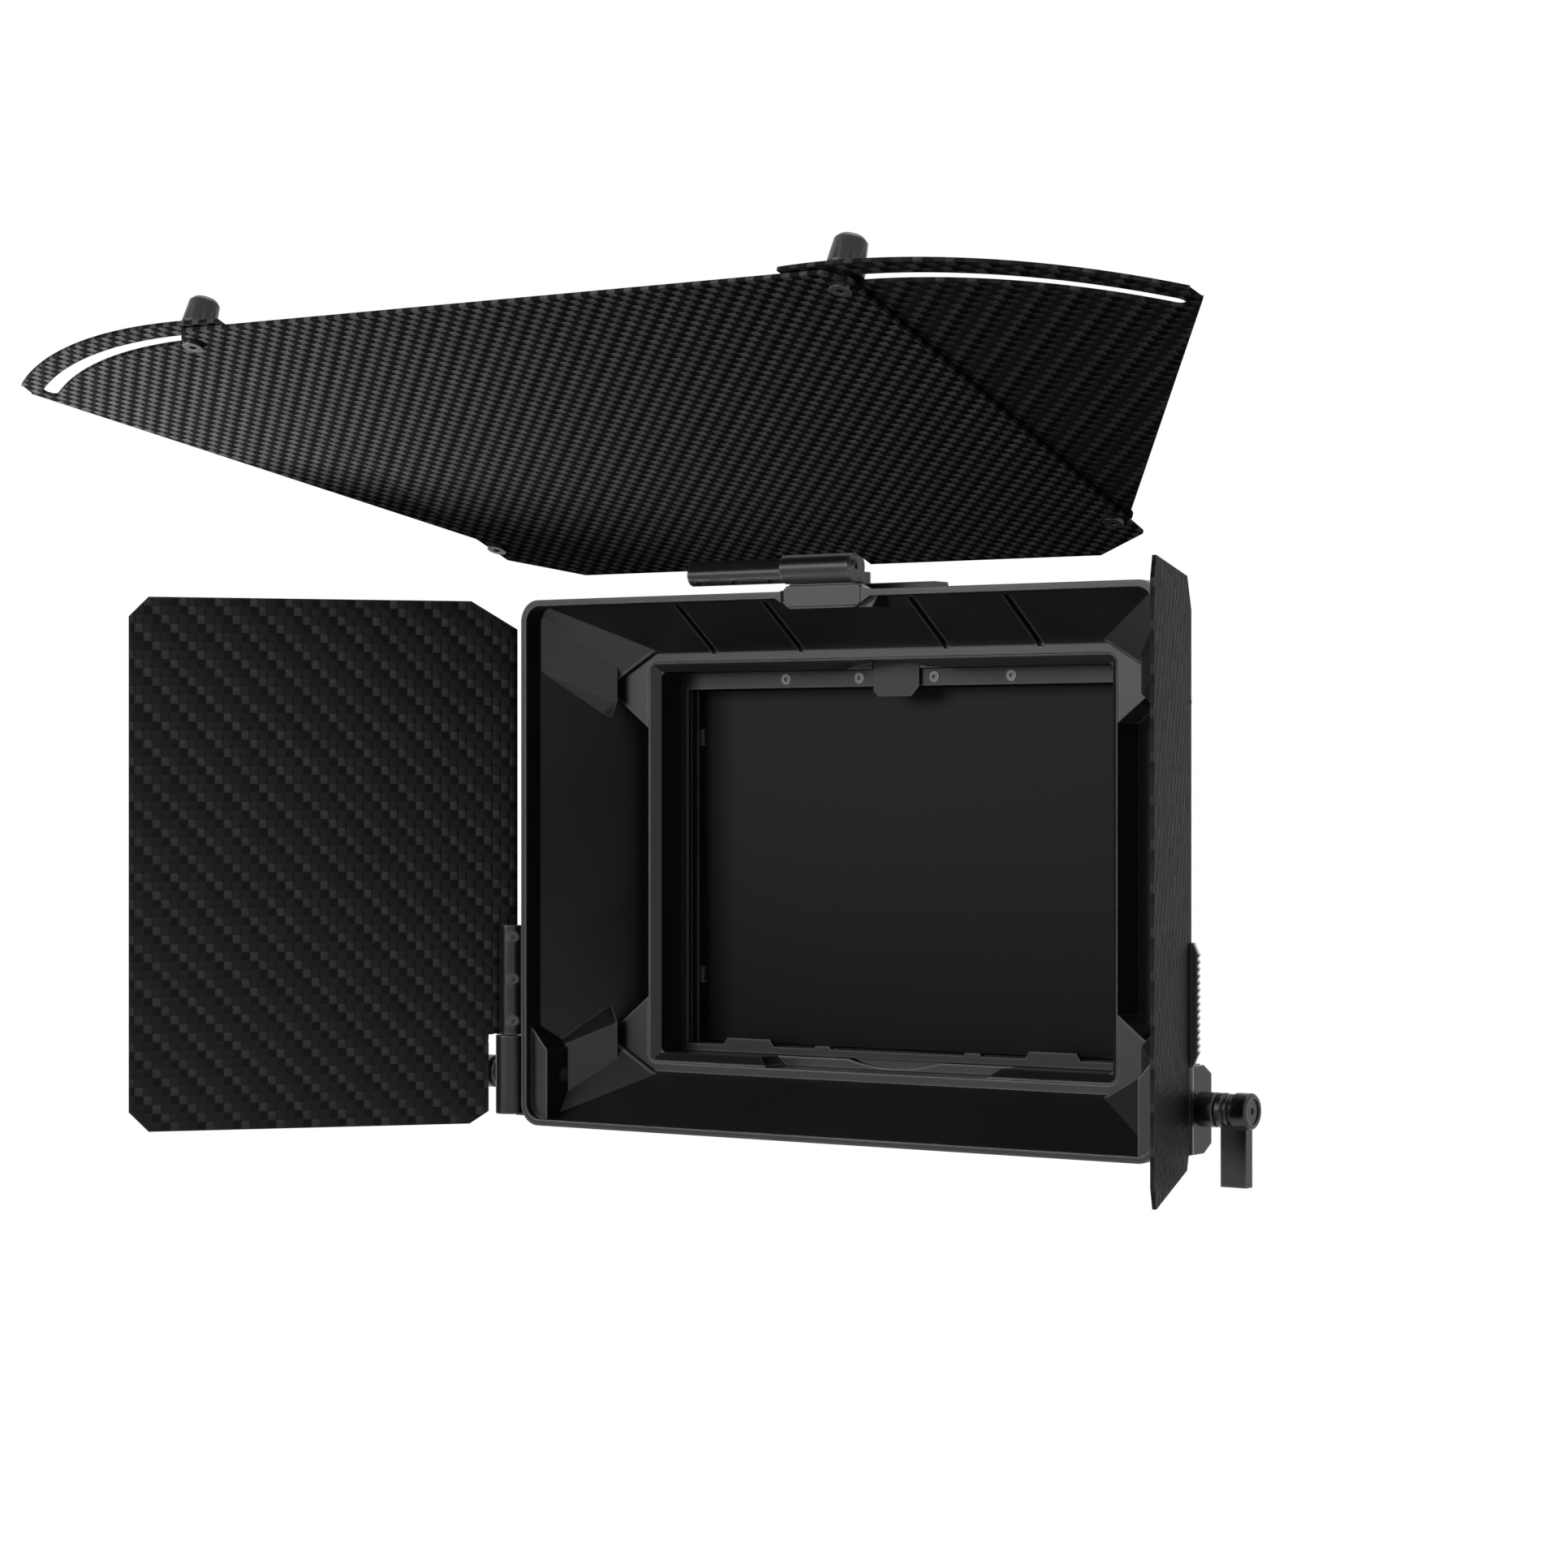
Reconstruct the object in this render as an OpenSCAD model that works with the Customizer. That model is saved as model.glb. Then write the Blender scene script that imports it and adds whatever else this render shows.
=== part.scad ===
// Matte box with one top flag, two side flags and two filter trays.
// Millimetres. X right, Y rearward, Z up. Origin on the lens axis at the rear face.

/* [Hood] */
// Width of the rim
hood_w = 208.4; // [204:0.2:214]
// Height of the rim
hood_h = 150; // [148:0.5:156]
// Wall thickness at the rim
rim_wall = 1.8; // [1.4:0.1:2.2]
// Radius of the rim's outer corners
rim_corner = 6; // [5:0.5:8]
// Depth of the straight band behind the rim
rim_band = 6.5; // [5:0.5:7]
// Depth from the rim to the throat frame
throat_depth = 25.3; // [24:0.1:28]
// Width of the grooves in the top wall
groove_w = 2; // [1:0.1:2.6]

/* [Throat] */
// Height of the throat frame
throat_h = 114.8; // [112:0.2:116]
// Width of the bevel on the throat frame
throat_bevel = 2.5; // [1:0.1:2.6]
// Depth of the throat in front of the filter stage
throat_len = 13.3; // [12:0.1:16]
// Width of the filter tab
tab_w = 15.2; // [12:0.2:20]
// Upward travel of the filter tab
tab_travel = 2.8; // [1.5:0.1:3]
// Diameter of the small frame screws
frame_screw_d = 1.6; // [1.2:0.1:2]

/* [Filters] */
// Width of a filter
filter_w = 143.5; // [142.5:0.1:143.7]
// Height of a filter
filter_h = 101.6; // [100:0.1:102]
// Thickness of a filter
filter_t = 4; // [2:0.1:5]
// Side of the lip behind a filter
filter_lip = 1.3; // [0.8:0.1:2]
// Wall of a tray in front of its filter
tray_front = 3.1; // [2:0.1:4]
// Height of a tray's handle
handle_h = 11; // [8:0.5:12]

/* [Lens clamp] */
// Diameter of the lens bore
lens_d = 114; // [104:1:114]
// Length of the split ring
ring_len = 12; // [10:0.5:16]
// Wall of the split ring
ring_wall = 5; // [4:0.5:6]
// Diameter of the clamp screw
clamp_screw_d = 4; // [3:0.5:5]
// Diameter of the clamp knob
clamp_knob_d = 13; // [10:0.5:14]

/* [Hinges] */
// Diameter of the turning knuckle
knuckle_d = 8; // [7.6:0.1:8.4]
// Diameter of the fixed knuckle
fixed_d = 8.6; // [8.2:0.1:9]
// Length of the turning knuckle
knuckle_len = 31.3; // [30:0.1:34]
// Length of the fixed knuckle
fixed_len = 22.4; // [20:0.1:24]
// Diameter of the hinge pins
pin_d = 2.5; // [2:0.1:2.6]
// Distance between the knuckle screws
screw_pitch = 12; // [10:0.5:12.5]
// Distance from a side hinge axis to the hood
side_standoff = 4.8; // [4.7:0.1:6]
// Distance from the top hinge axis to the hood
top_standoff = 6.2; // [5.6:0.1:7]

/* [Levers] */
// Length of a lever arm
arm_len = 19.5; // [15:0.5:24]
// Thickness of a lever arm
arm_t = 3.3; // [3:0.1:5]
// Diameter of a lever hub
hub_d = 9; // [8:0.1:9.4]
// Turn of the left lever from hanging
left_lever_turn = 90; // [0:1:90]
// Diameter of the lever stud
stud_d = 4; // [3:0.1:4.5]

/* [Flags] */
// Thickness of the flag plates
plate_t = 1; // [0.8:0.1:1.4]
// Opening angle of the left flag
left_open = 128.2; // [95:0.2:160]
// Opening angle of the right flag
right_open = 114.6; // [95:0.2:160]
// Rise of the top flag above level
top_rise = 20.5; // [10:0.1:45]
// Length of the top flag
top_len = 156.6; // [150:0.2:170]
// Side of the corner cuts on the free edges
corner_cut = 5.5; // [3:0.5:8]

/* [Wings] */
// Radius of the arc slot
slot_r = 131.5; // [126:0.5:134]
// Width of the arc slot
slot_w = 4.2; // [3.6:0.1:5]
// Angle that a wing swings
wing_swing = 34.5; // [25:0.5:35]
// Rim left outside the slot
wing_rim = 5.7; // [4:0.1:8]
// Diameter of the wing screws
wing_screw_d = 3; // [2.5:0.1:3.2]
// Base diameter of a thumb knob
knob_d = 9.6; // [8:0.1:11]
// Height of a thumb knob
knob_h = 9.8; // [8:0.1:12]

/* [Hidden] */
$fn = 64;
fit = 0.05;
seat = 0.1;
slip = 0.3;
front_wall = 3;
tray_t = tray_front + filter_t + 1.7;
tray_gap = 0.3;
slot_t = tray_t + 2 * tray_gap;
mid_wall = 1.6;
plate_rear = 4;
stage_y = throat_depth + throat_len;
slot1_y = stage_y + front_wall;
slot2_y = slot1_y + slot_t + mid_wall;
rear_y = slot2_y + slot_t;
ring_y = rear_y + plate_rear;
total_depth = ring_y + ring_len;
open_w = filter_w + 0.5;
open_half = open_w / 2;
open_mid = -1.3;
open_h = throat_h - 12.6;
tray_mouth_h = filter_h + 0.6;
tray_z0 = open_mid - tray_mouth_h / 2;
tray_z1 = open_mid + tray_mouth_h / 2;
throat_w = open_w + 11.2;
throat_in_w = throat_w - 5.6;
throat_in_h = throat_h - 5.4;
tray_w = open_w + 4.4;
stage_w = tray_w + 8.8;
stage_top = tray_z1 + 12.2;
stage_low = tray_z0 - 8.6;
tray_low = tray_z0 - 4.9;
tray_high = tray_z1 + 10.2;
flange_w = throat_w + 16.8;
flange_h = throat_h + 17.2;
stage_screw_x = flange_w / 2 - 3.7;
stage_screw_z = flange_h / 2 - 16;
stage_screw_r = 1.5;
plate_screw_x = stage_w / 2 - 2.2;
plate_screw_z = 45;
plate_screw_r = 1;
frame_pitch = 25;
hood_x = hood_w / 2;
hood_z = hood_h / 2;
in_x = hood_x - rim_wall;
in_z = hood_z - rim_wall;
taper_x = throat_w / 2 + 5.4;
pocket_y = stage_y - 2.6;
ledge_z = throat_h / 2 + 2.6;
web_x = throat_w / 2 - 0.6;
tab_x = 0.6;
tab_high = throat_in_h / 2 + 2.4;
stem_high = throat_in_h / 2 - 0.9;
ridge_y = throat_depth - 1;
ridge_x = in_x - (ridge_y - rim_band) / (pocket_y - rim_band) * (in_x - taper_x);
ridge_z = in_z - (ridge_y - rim_band) / (throat_depth - rim_band) * (in_z - ledge_z);
hinge_s = 1.2;
hinge_x = hood_x + side_standoff;
hinge_z = hood_z + top_standoff;
side_a0 = 57 - hood_z;
top_a0 = -43.6;
fixed_a = knuckle_len + slip;
foot_a = fixed_a + 0.4;
foot_len = fixed_len + 0.4;
foot_f = 3;
foot_deep = 14.2;
pad_t = 2;
foot_t = 3.4;
foot_top = pad_t + foot_t;
lever_a = fixed_a + fixed_len / 2 + 0.2;
lever_f = (fixed_d + hub_d) / 2 + 0.4;
side_boss = 7.4;
top_boss = 4.6;
plate_w = 2.5;
top_w = 1.9;
screw_r = 1;
screw_v = 0;
head_w = 2.6;
head_r = 1.45;
barrel_half = knuckle_d / 2 - 0.9;
screw_end = 3.9;
pin_in = 1.8;
strip_t = 2;
side_len = hinge_x - 0.3;
washer_t = 0.4;
wing_w0 = top_w + plate_t + washer_t + seat;
wing_w1 = wing_w0 + plate_t;
pivot_v = 18.6;
knob_w0 = wing_w1 + seat;
wing_screw_r = wing_screw_d / 2;
top_half = hood_x - 0.6;
pivot_x = top_half - 3.4;
notch_u0 = top_a0 + knuckle_len - 2;
notch_u1 = top_a0 + fixed_a + fixed_len + 2.4;
notch_v = fixed_d / 2 + 0.4;
top_foot_cut = 5;
rear_v = -3.2;
clamp_z = lens_d / 2 + ring_wall + clamp_knob_d / 2 + 0.1;

// Placing helpers: s is the depth behind the rim.
module at_depth(s) {
  translate([0, s - total_depth, 0]) children();
}

module round_rect(w, h, r) {
  square([w - 2 * r, h], center = true);
  square([w, h - 2 * r], center = true);
  for (x = [-1, 1]) {
    for (z = [-1, 1]) {
      translate([x * (w / 2 - r), z * (h / 2 - r)]) circle(r = r);
    }
  }
}

// A flat shape drawn in X and Z, given depth from s0 to s1.
module slab(s0, s1) {
  at_depth(s1) rotate([90, 0, 0]) linear_extrude(s1 - s0) children();
}

module window(w, z0, z1, s0, s1) {
  slab(s0, s1) translate([-w / 2, z0]) square([w, z1 - z0]);
}

// Plan shape in X and s, standing from low to high.
module plan(low, high) {
  translate([0, -total_depth, low]) linear_extrude(high - low) children();
}

// Side shape in s and Z, across the whole width.
module profile(x0, x1) {
  translate([x0, -total_depth, 0]) rotate([90, 0, 90]) linear_extrude(x1 - x0) children();
}

module hood_outer() {
  intersection() {
    plan(-hood_z - 1, hood_z + 1) polygon([[-hood_x, 0], [hood_x, 0], [hood_x, 8],
      [flange_w / 2, stage_y - 4.6], [flange_w / 2, stage_y], [-flange_w / 2, stage_y],
      [-flange_w / 2, stage_y - 4.6], [-hood_x, 8]]);
    profile(-hood_x - 1, hood_x + 1) polygon([[0, -hood_z], [8, -hood_z],
      [throat_depth + 3, -flange_h / 2], [stage_y, -flange_h / 2], [stage_y, flange_h / 2],
      [throat_depth + 3, flange_h / 2], [8, hood_z], [0, hood_z]]);
    slab(0, stage_y) round_rect(hood_w, hood_h, rim_corner);
  }
}

module hood_cavity() {
  intersection() {
    plan(-hood_z, hood_z) polygon([[-in_x, -1], [in_x, -1], [in_x, rim_band],
      [taper_x, pocket_y], [-taper_x, pocket_y], [-in_x, rim_band]]);
    union() {
      profile(-hood_x, hood_x) polygon([[-1, -in_z], [rim_band, -in_z],
        [throat_depth, -ledge_z], [throat_depth, ledge_z], [rim_band, in_z], [-1, in_z]]);
      for (x = [-1, 1]) {
        slab(throat_depth - 0.5, pocket_y) polygon([[x * web_x, 21.9 - ledge_z],
          [x * web_x, ledge_z - 21.9], [x * (taper_x + 9), ledge_z - 10.1],
          [x * (taper_x + 9), 10.1 - ledge_z]]);
      }
    }
    slab(-1, pocket_y) round_rect(2 * in_x, 2 * in_z, rim_corner - 1.5);
  }
}

// Side facet as one piece, top facet as a slanted prism.
module corner_ridge() {
  slant = 30.7;
  top_f = in_x * sin(slant) + (in_z - 1.6) * cos(slant);
  lip_f = (ridge_x - 15.5) * sin(slant) + (ridge_z - 0.8) * cos(slant);
  intersection() {
    union() {
      hull() {
        slab(rim_band + 0.1, rim_band + 0.11) polygon([[in_x, in_z - 18], [in_x, in_z - 2],
          [in_x + 0.8, in_z - 2], [in_x + 0.8, in_z - 18.6]]);
        slab(ridge_y - 2, ridge_y - 1.99) translate([ridge_x, ridge_z]) polygon([[-4.2, -14.4],
          [-4.2, -4.4], [1.8, -4.4], [1.8, -17.9]]);
        slab(throat_depth + 0.1, throat_depth + 0.11) translate([ridge_x, ridge_z])
          polygon([[0.3, -10], [0.3, -19.9], [1, -19.9], [1, -10]]);
      }
      rotate([0, slant, 0]) profile(20, hood_x) polygon([[rim_band, top_f], [ridge_y, lip_f],
        [ridge_y, hood_x + hood_z], [rim_band, hood_x + hood_z]]);
    }
    hood_outer();
    translate([0, -total_depth - 1, 0]) cube([hood_x, total_depth, hood_z]);
  }
}

module side_boss_block() {
  plan(-in_z - 0.5, side_a0 - 28.5) polygon([[in_x + 0.5, 2.5], [in_x + 0.5, 15], [hood_x - side_boss, 15],
    [hood_x - side_boss, 2.5]]);
}

module side_boss_cut() {
  slab(0, 20) polygon([[hood_x - side_boss - 1, side_a0 - 36.5],
    [in_x + 0.5, side_a0 - 28.5], [in_x + 0.5, side_a0 - 22],
    [hood_x - side_boss - 1, side_a0 - 22]]);
}

module badge_swell() {
  slab(0, 4) polygon([[-14.2, in_z + 0.2], [-14, hood_z], [-10.3, hood_z + 1.9],
    [10.3, hood_z + 1.9], [14, hood_z], [14.2, in_z + 0.2]]);
  slab(0, 3) polygon([[-16, in_z + 0.2], [-10.5, hood_z - 4.8], [10.5, hood_z - 4.8],
    [16, in_z + 0.2]]);
  slab(2, 13) polygon([[-9, in_z + 0.2], [-9, hood_z - 4.8], [15, hood_z - 4.8],
    [17, in_z + 0.2]]);
}

module top_groove(x) {
  profile(x - groove_w / 2, x + groove_w / 2) polygon([[rim_band + 0.3, in_z - 0.6],
    [rim_band + 1.2, in_z + 0.5], [throat_depth + 1, ledge_z + 1.2],
    [throat_depth + 1, ledge_z - 0.6], [throat_depth - 0.5, ledge_z - 0.4]]);
}

module hood_shell() {
  color([0.05, 0.05, 0.055]) difference() {
    union() {
      difference() {
        union() {
          hood_outer();
          intersection() {
            slab(0, stage_y) round_rect(hood_w, hood_h, rim_corner);
            for (x = [-1, 1]) plan(-hood_z, side_a0 - 27) polygon([[x * flange_w / 2, 0.1], [x * hood_x, 0.1],
              [x * hood_x, 19.5], [x * (hood_x - 8.2), 27], [x * flange_w / 2, 27]]);
          }
          slab(0.1, 21) translate([notch_u0 - 1, ledge_z + 2])
            square([53, hood_z - ledge_z - 2]);
        }
        hood_cavity();
        slab(-1, stage_y + 1) round_rect(throat_w + 0.2, throat_h + 0.2, 3.1);
        for (x = [-54, -24, 24, 54]) {
          top_groove(x);
        }
      }
      for (x = [0, 1]) {
        for (z = [0, 1]) {
          mirror([x, 0, 0]) mirror([0, 0, z]) corner_ridge();
        }
      }
      for (x = [0, 1]) {
        mirror([x, 0, 0]) difference() {
          side_boss_block();
          side_boss_cut();
        }
      }
      badge_swell();
    }
    slab(-1, 0.7) translate([-13.5, hood_z - 4.3]) square([26.2, 5.8]);
    translate([tab_x, 0, 0])
      window(tab_w + 0.6, throat_h / 2 - 1, tab_high + tab_travel + 0.4, stage_y - 3, stage_y - 1.5);
    for (x = [0, 1]) {
      mirror([x, 0, 0]) {
        translate([hood_x - side_boss + 0.6, -total_depth + hinge_s + lever_f, side_a0 - lever_a])
          rotate([0, 90, 0]) cylinder(r = stud_d / 2 + fit, h = side_boss + 1);
      }
      for (z = [-1, 1]) {
        mirror([x, 0, 0]) at_depth(stage_y + 1)
          translate([stage_screw_x, 0, z * stage_screw_z]) rotate([90, 0, 0])
          cylinder(r = stage_screw_r + fit, h = 9);
      }
    }
    translate([top_a0 + lever_a, -total_depth + hinge_s + lever_f, hood_z - top_boss + 0.5])
      cylinder(r = stud_d / 2 + fit, h = top_boss + 1);
  }
}

module emblem_plate() {
  color([0.08, 0.08, 0.085]) difference() {
    slab(0, 0.7) translate([-12.5, hood_z - 4.2]) square([25, 5.6]);
    for (x = [-13.1, 11.9]) {
      for (z = [hood_z - 4.8, hood_z + 0.8]) {
        slab(-1, 1) translate([x, z]) square([1.2, 1.2]);
      }
    }
  }
}

module top_pad() {
  color([0.06, 0.06, 0.065]) profile(top_a0 + foot_a + foot_len - top_foot_cut + 0.3, 28.4)
    polygon([[12, hood_z], [12.4, hood_z + 2.2], [19, hood_z + 2.2], [20, hood_z]]);
}

module throat_frame() {
  bevel_end = throat_depth + 2.6;
  color([0.055, 0.055, 0.06]) difference() {
    slab(throat_depth, stage_y) round_rect(throat_w, throat_h, 3);
    slab(throat_depth - 1, stage_y + 1) round_rect(throat_in_w, throat_in_h, 1.5);
    // bevel as four sloped cuts, one for each side
    intersection() {
      plan(-throat_h, throat_h) polygon([[-throat_in_w / 2 - throat_bevel, throat_depth - 0.01],
        [throat_in_w / 2 + throat_bevel, throat_depth - 0.01], [throat_in_w / 2, bevel_end],
        [-throat_in_w / 2, bevel_end]]);
      profile(-throat_w, throat_w) polygon([[throat_depth - 0.01, -throat_in_h / 2 - throat_bevel],
        [throat_depth - 0.01, throat_in_h / 2 + throat_bevel], [bevel_end, throat_in_h / 2],
        [bevel_end, -throat_in_h / 2]]);
      slab(throat_depth - 1, bevel_end + 1)
        round_rect(throat_in_w + 2 * throat_bevel, throat_in_h + 2 * throat_bevel, 3);
    }
    at_depth(stage_y - 2.9) translate([0, 0, throat_in_h / 2 + 2.2 - 62.9]) rotate([90, 0, 0])
      cylinder(r = 62.9, h = throat_len - 1.9, $fn = 256);
    at_depth(stage_y + 1) translate([0, 0, -throat_in_h / 2 - 2.2 + 55.3]) rotate([90, 0, 0])
      cylinder(r = 55.3, h = 9.4, $fn = 256);
    translate([tab_x, 0, 0])
      window(tab_w + 0.6, throat_in_h / 2 - 4, throat_h / 2 + 1, stage_y - 3, stage_y - 1.5);
    window(6.6, throat_in_h / 2 - 4, throat_h / 2 + 1, stage_y - 3, stage_y + 1);
  }
}

module retainer_frame() {
  z0 = open_mid - open_h / 2;
  z1 = open_mid + open_h / 2;
  color([0.055, 0.055, 0.06]) difference() {
    union() {
      difference() {
        slab(stage_y - 1.6, stage_y) round_rect(throat_in_w - 0.4, throat_in_h - 0.4, 1.5);
        window(open_w, z0, z1, stage_y - 2, stage_y + 1);
      }
      for (x = [0, 1]) {
        mirror([x, 0, 0]) slab(stage_y - 1.6, stage_y) {
          polygon([[41.5, z0 - 0.5], [43.2, z0 + 2], [58.1, z0 + 2], [59.8, z0 - 0.5]]);
          polygon([[22, z0 - 0.5], [22.6, z0 + 0.8], [27.4, z0 + 0.8], [28, z0 - 0.5]]);
        }
      }
    }
    window(6.4, z1 + 0.5, throat_in_h / 2 + 1, stage_y - 2, stage_y + 1);
    for (k = [-1.5:1.5]) {
      x = k * frame_pitch;
      at_depth(stage_y + 1) translate([x, 0, (z1 + throat_in_h / 2) / 2]) rotate([90, 0, 0])
        cylinder(r = frame_screw_d / 2 + fit, h = 4);
      at_depth(stage_y - 0.9) translate([x, 0, (z1 + throat_in_h / 2) / 2]) rotate([90, 0, 0])
        cylinder(r = 1.6 + fit, h = 4);
    }
  }
}

module retainer_screws() {
  z = (open_mid + open_h / 2 + throat_in_h / 2) / 2;
  color([0.1, 0.1, 0.105]) for (k = [-1.5:1.5]) {
    x = k * frame_pitch;
    difference() {
      union() {
        at_depth(stage_y - 0.9) translate([x, 0, z]) rotate([90, 0, 0])
          cylinder(r = 1.6, h = 0.8);
        at_depth(stage_y + 2) translate([x, 0, z]) rotate([90, 0, 0])
          cylinder(r = frame_screw_d / 2, h = 3);
      }
      at_depth(stage_y - 1.3) translate([x, 0, z]) rotate([90, 0, 0])
        cylinder(r = 0.6, h = 1, $fn = 6);
    }
  }
}

module filter_tab() {
  tab_low = open_mid + open_h / 2 - 2.9;
  half = tab_w / 2;
  color([0.07, 0.07, 0.075]) union() {
    slab(stage_y - 2.7, stage_y - 1.8) translate([tab_x, 0]) polygon([[-half, tab_high],
      [-half, tab_low + 1.8], [-half + 1.6, tab_low], [half - 2.6, tab_low], [half, tab_low + 2.8],
      [half, tab_high]]);
    window(6, stem_high - 3, stem_high, stage_y - 1.9, stage_y + 1.6);
    window(10, stem_high - 3, stem_high, stage_y + 0.3, stage_y + 1.7);
  }
}

module filter_stage() {
  z0 = open_mid - open_h / 2;
  z1 = open_mid + open_h / 2;
  color([0.05, 0.05, 0.055]) difference() {
    union() {
      slab(stage_y, slot1_y) round_rect(flange_w, flange_h, 4);
      slab(slot1_y - 0.5, rear_y) translate([-stage_w / 2, stage_low])
        square([stage_w, stage_top - stage_low]);
    }
    window(open_w, z0, z1, stage_y - 1, slot1_y + 1);
    window(tray_w + 0.6, tray_low - 0.3, stage_top + 1, slot1_y, slot1_y + slot_t);
    window(filter_w - 2, tray_z0 + 1, tray_z1 - 1, slot1_y + slot_t - 1, slot2_y + 1);
    window(tray_w + 0.6, tray_low - 0.3, stage_top + 1, slot2_y, rear_y + 1);
    window(10.6, throat_in_h / 2 - 4.2, throat_in_h / 2 - 0.6 + tab_travel, stage_y - 1,
      stage_y + 2.1);
    for (k = [-1.5:1.5]) {
      at_depth(stage_y + 2.4) translate([k * frame_pitch, 0, (z1 + throat_in_h / 2) / 2]) rotate([90, 0, 0])
        cylinder(r = frame_screw_d / 2 + fit, h = 4);
    }
    for (x = [-1, 1]) {
      for (z = [-1, 1]) {
        at_depth(slot1_y + 1) translate([x * stage_screw_x, 0, z * stage_screw_z])
          rotate([90, 0, 0]) cylinder(r = stage_screw_r + fit, h = 6);
        at_depth(rear_y + 1) translate([x * plate_screw_x, 0, z * plate_screw_z])
          rotate([90, 0, 0]) cylinder(r = plate_screw_r + fit, h = 8);
      }
    }
  }
}

module cap_screw(r, len, head_r, head_h) {
  difference() {
    union() {
      translate([0, 0, -len]) cylinder(r = r, h = len);
      cylinder(r = head_r, h = head_h);
    }
    translate([0, 0, head_h * 0.4]) cylinder(r = head_r * 0.5, h = head_h, $fn = 6);
  }
}

module stage_screws() {
  color([0.1, 0.1, 0.105]) for (x = [-1, 1]) {
    for (z = [-1, 1]) {
      at_depth(slot1_y) translate([x * stage_screw_x, 0, z * stage_screw_z]) rotate([-90, 0, 0])
        cap_screw(stage_screw_r, front_wall + 7, 2.6, 1.6);
    }
  }
}

module rear_plate() {
  half = stage_w / 2;
  outer_r = lens_d / 2 + ring_wall;
  color([0.055, 0.055, 0.06]) difference() {
    union() {
      intersection() {
        window(stage_w, stage_low, stage_top, rear_y, ring_y);
        plan(stage_low - 1, stage_top + 1) polygon([[-half, rear_y - 1], [half, rear_y - 1],
          [half, rear_y + 1.5], [half - 2.5, ring_y + 0.01], [-half + 2.5, ring_y + 0.01],
          [-half, rear_y + 1.5]]);
      }
      at_depth(total_depth) rotate([90, 0, 0]) cylinder(r = outer_r, h = ring_len + 1, $fn = 128);
      at_depth(total_depth - 1) rotate([90, 0, 0]) linear_extrude(ring_len - 2)
        translate([-9, lens_d / 2 + 1]) square([18, clamp_z - lens_d / 2 + 4]);
    }
    at_depth(total_depth + 1) rotate([90, 0, 0])
      cylinder(r = lens_d / 2, h = ring_len + plate_rear + 2, $fn = 128);
    window(2, lens_d / 2 - 3, clamp_z + 8, ring_y + 0.5, total_depth + 1);
    translate([-12, -ring_len / 2, clamp_z]) rotate([0, 90, 0])
      cylinder(r = clamp_screw_d / 2 + fit, h = 24);
    for (x = [-1, 1]) {
      for (z = [-1, 1]) {
        at_depth(ring_y + 1) translate([x * plate_screw_x, 0, z * plate_screw_z])
          rotate([90, 0, 0]) cylinder(r = plate_screw_r + fit, h = 8);
        at_depth(ring_y + 1) translate([x * plate_screw_x, 0, z * plate_screw_z])
          rotate([90, 0, 0]) cylinder(r = 1.8, h = 3.2);
      }
    }
  }
}

module rear_plate_screws() {
  color([0.1, 0.1, 0.105]) for (x = [-1, 1]) {
    for (z = [-1, 1]) {
      at_depth(ring_y - 2.2) translate([x * plate_screw_x, 0, z * plate_screw_z])
        rotate([-90, 0, 0]) cap_screw(plate_screw_r, 7, 1.7, 1.2);
    }
  }
}

module clamp_screw() {
  color([0.3, 0.3, 0.31]) translate([-9.8, -ring_len / 2, clamp_z]) rotate([0, 90, 0])
    cylinder(r = clamp_screw_d / 2, h = 22);
}

module clamp_knob() {
  color([0.05, 0.05, 0.055]) translate([9 + slip, -ring_len / 2, clamp_z]) rotate([0, 90, 0])
    difference() {
      union() {
        cylinder(r = 4.2, h = 2);
        translate([0, 0, 1.5]) cylinder(r = clamp_knob_d / 2, h = 8);
      }
      translate([0, 0, -1]) cylinder(r = clamp_screw_d / 2 + fit, h = 4.2);
      for (k = [0:9]) {
        rotate([0, 0, 36 * k]) translate([clamp_knob_d / 2 + 0.5, 0, 1]) cylinder(r = 1.2, h = 9);
      }
    }
}

module tray(s0) {
  high = tray_high;
  color([0.05, 0.05, 0.055]) difference() {
    union() {
      window(tray_w, tray_low, high, s0 + tray_gap, s0 + tray_gap + tray_t);
      window(60, high - 1, high + handle_h, s0 + 1.5, s0 + tray_t - 1);
    }
    window(open_w, tray_z0, tray_z1, s0 - 1, s0 + tray_gap + tray_front + filter_t);
    window(filter_w - 2 * filter_lip, open_mid - filter_h / 2 + filter_lip,
      open_mid + filter_h / 2 - filter_lip, s0, s0 + tray_t + 2);
    for (x = [-20:10:20]) {
      window(4, high + 3, high + handle_h - 3, s0, s0 + 2.3);
      at_depth(s0 + 2.3) translate([x, 0, high + handle_h / 2]) rotate([90, 0, 0])
        cylinder(r = 2, h = 3);
    }
  }
}

module tray_clips(s0) {
  for (x = [0, 1]) {
    for (z = [36, -32.8]) {
      mirror([x, 0, 0]) at_depth(s0 + tray_gap + tray_front - 1.7)
        translate([open_half - 1, 0, z - 2.4]) cube([1.5, 1.6, 4.8]);
    }
  }
}

module front_tray() {
  union() {
    tray(slot1_y);
    color([0.05, 0.05, 0.055]) tray_clips(slot1_y);
  }
}

module rear_tray() {
  union() {
    tray(slot2_y);
    color([0.05, 0.05, 0.055]) tray_clips(slot2_y);
  }
}

module filter(s0) {
  window(filter_w, open_mid - filter_h / 2, open_mid + filter_h / 2,
    s0 + tray_gap + tray_front, s0 + tray_gap + tray_front + filter_t);
}

module front_filter() {
  color([0.02, 0.02, 0.022]) filter(slot1_y);
}

module rear_filter() {
  color([0.1, 0.12, 0.12]) filter(slot2_y);
}

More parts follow.
